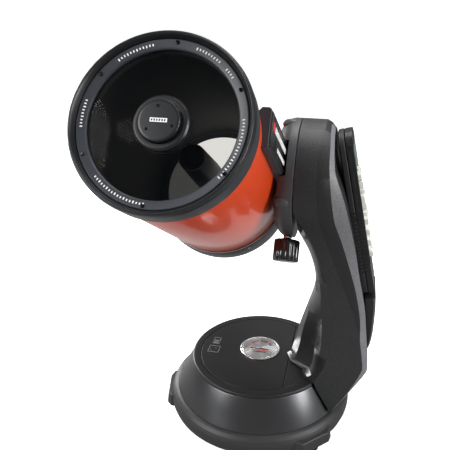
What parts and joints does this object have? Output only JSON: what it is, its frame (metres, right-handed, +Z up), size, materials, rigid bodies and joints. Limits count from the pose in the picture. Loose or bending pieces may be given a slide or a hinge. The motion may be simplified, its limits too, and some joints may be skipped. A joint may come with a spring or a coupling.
{
  "type": "schmidt cassegrain telescope",
  "caption": "Compact catadioptric telescope with an orange tube on a one-arm motorised alt-azimuth mount with a hand control in the arm.",
  "frame": {"origin": "on the azimuth axis, at the underside of the base", "axes": "+Z up along the azimuth axis; the arm stands on +X; the tube is tilted 31.7 degrees up and its front faces -Y"},
  "size_m": [0.3261, 0.4371, 0.5429],
  "materials": {
    "orange_paint": "gloss",
    "cell_grey": "satin",
    "coated_glass": "polished",
    "black_plastic": "satin",
    "mirror": "polished",
    "black_metal": "satin",
    "brass": "satin",
    "steel": "satin",
    "black_rubber": "matte",
    "gloss_black": "gloss",
    "arm_grey": "satin",
    "light_grey": "satin",
    "display": "gloss",
    "key_white": "matte",
    "base_grey": "satin",
    "skirt_metal": "satin"
  },
  "bodies": {
    "base": {"base_shell": "base_grey", "base_plate": "steel", "foot_1": "black_rubber", "foot_2": "black_rubber", "foot_3": "black_rubber", "azimuth_spindle": "steel", "azimuth_gear": "brass"},
    "fork": {"turntable": "skirt_metal", "rim_ring": "gloss_black", "side_panel": "black_plastic", "battery_holder": "black_plastic", "power_jack": "black_plastic", "arm_core": "arm_grey", "arm_outer_cover": "light_grey", "arm_lower_panel": "arm_grey", "altitude_bearing": "steel", "altitude_gearmotor": "steel"},
    "battery_lid": {"battery_cover": "black_plastic", "cover_badge": "steel"},
    "switch": {"power_switch": "black_plastic"},
    "saddle": {"saddle": "arm_grey", "altitude_shaft": "steel", "altitude_gear": "brass"},
    "clamp_jaw": {"clamp_jaw": "arm_grey"},
    "clamp_knob": {"clamp_screw": "steel", "clamp_knob": "gloss_black"},
    "tube": {"optical_tube": "orange_paint", "front_cell": "cell_grey", "corrector_retaining_ring": "cell_grey", "corrector_plate": "coated_glass", "secondary_holder": "black_plastic", "secondary_nut": "black_plastic", "secondary_mirror": "mirror", "secondary_cap": "black_plastic", "rear_cell": "black_metal", "baffle_tube": "black_metal", "visual_back": "black_metal", "dovetail_bar": "cell_grey", "nameplate": "gloss_black"},
    "mirror": {"primary_mirror": "mirror", "mirror_carrier": "brass"},
    "focus": {"focus_shaft": "steel", "focus_knob": "black_rubber"},
    "diagonal": {"star_diagonal": "black_plastic"},
    "eyepiece": {"eyepiece": "black_metal"},
    "handset": {"handset_back": "black_rubber", "handset_front": "black_plastic", "display_window": "display"},
    "number_keypad": {"number_keypad": "key_white"},
    "key_align": {"key_align": "key_white"},
    "key_enter": {"key_enter": "key_white"},
    "key_undo": {"key_undo": "key_white"},
    "key_up": {"key_up": "key_white"},
    "key_left": {"key_left": "key_white"},
    "key_right": {"key_right": "key_white"},
    "key_down": {"key_down": "key_white"}
  },
  "joints": [
    {"name": "azimuth", "type": "hinge", "parent": "base", "child": "fork", "pos_m": [0, 0, 0.055], "axis": [0, 0, 1], "continuous": true},
    {"name": "altitude", "type": "hinge", "parent": "fork", "child": "saddle", "pos_m": [0, 0.0066, 0.3556], "axis": [1, 0, 0], "range_deg": [-58.3, 46.7]},
    {"name": "dovetail_slide", "type": "slide", "parent": "saddle", "child": "tube", "axis": [0, -0.8508, 0.5255], "range_m": [-0.025, 0.015]},
    {"name": "clamp_turn", "type": "hinge", "parent": "saddle", "child": "clamp_knob", "pos_m": [0.038, -0.02493, 0.30455], "axis": [0, 0.5255, 0.8508], "range_deg": [-1, 1081]},
    {"name": "clamp_travel", "type": "slide", "parent": "saddle", "child": "clamp_jaw", "axis": [0, -0.5255, -0.8508], "range_m": [0, 0.004]},
    {"name": "focus_turn", "type": "hinge", "parent": "tube", "child": "focus", "pos_m": [-0.022, 0.09359, 0.2872], "axis": [0, -0.8508, 0.5255], "range_deg": [-2881, 2881]},
    {"name": "mirror_travel", "type": "slide", "parent": "tube", "child": "mirror", "axis": [0, -0.8508, 0.5255], "range_m": [-0.006, 0.006]},
    {"name": "diagonal_turn", "type": "hinge", "parent": "tube", "child": "diagonal", "pos_m": [-0.07, 0.1106, 0.27669], "axis": [0, -0.8508, 0.5255], "continuous": true},
    {"name": "eyepiece_lift", "type": "slide", "parent": "diagonal", "child": "eyepiece", "axis": [0, 0.5255, 0.8508], "range_m": [0, 0.035]},
    {"name": "battery_lid_lift", "type": "slide", "parent": "fork", "child": "battery_lid", "axis": [0, 0, 1], "range_m": [0, 0.06]},
    {"name": "switch_slide", "type": "slide", "parent": "fork", "child": "switch", "axis": [0, 1, 0], "range_m": [0, 0.0045]},
    {"name": "handset_lift", "type": "slide", "parent": "fork", "child": "handset", "axis": [0.9744, 0, 0.225], "range_m": [0, 0.15]},
    {"name": "key_align_press", "type": "slide", "parent": "handset", "child": "key_align", "axis": [-0.9744, 0, -0.225], "range_m": [0, 0.0011], "stiffness_N_per_m": 400},
    {"name": "key_enter_press", "type": "slide", "parent": "handset", "child": "key_enter", "axis": [-0.9744, 0, -0.225], "range_m": [0, 0.0011], "stiffness_N_per_m": 400},
    {"name": "key_undo_press", "type": "slide", "parent": "handset", "child": "key_undo", "axis": [-0.9744, 0, -0.225], "range_m": [0, 0.0011], "stiffness_N_per_m": 400},
    {"name": "key_up_press", "type": "slide", "parent": "handset", "child": "key_up", "axis": [-0.9744, 0, -0.225], "range_m": [0, 0.0011], "stiffness_N_per_m": 400},
    {"name": "key_left_press", "type": "slide", "parent": "handset", "child": "key_left", "axis": [-0.9744, 0, -0.225], "range_m": [0, 0.0011], "stiffness_N_per_m": 400},
    {"name": "key_right_press", "type": "slide", "parent": "handset", "child": "key_right", "axis": [-0.9744, 0, -0.225], "range_m": [0, 0.0011], "stiffness_N_per_m": 400},
    {"name": "key_down_press", "type": "slide", "parent": "handset", "child": "key_down", "axis": [-0.9744, 0, -0.225], "range_m": [0, 0.0011], "stiffness_N_per_m": 400},
    {"name": "number_keypad_press", "type": "slide", "parent": "handset", "child": "number_keypad", "axis": [-0.9744, 0, -0.225], "range_m": [0, 0.0011], "stiffness_N_per_m": 2000}
  ],
  "couplings": [
    {"joint": "clamp_turn", "follows": "clamp_travel", "rad_per_m": 4712.4},
    {"joint": "focus_turn", "follows": "mirror_travel", "rad_per_m": 8377.6}
  ]
}
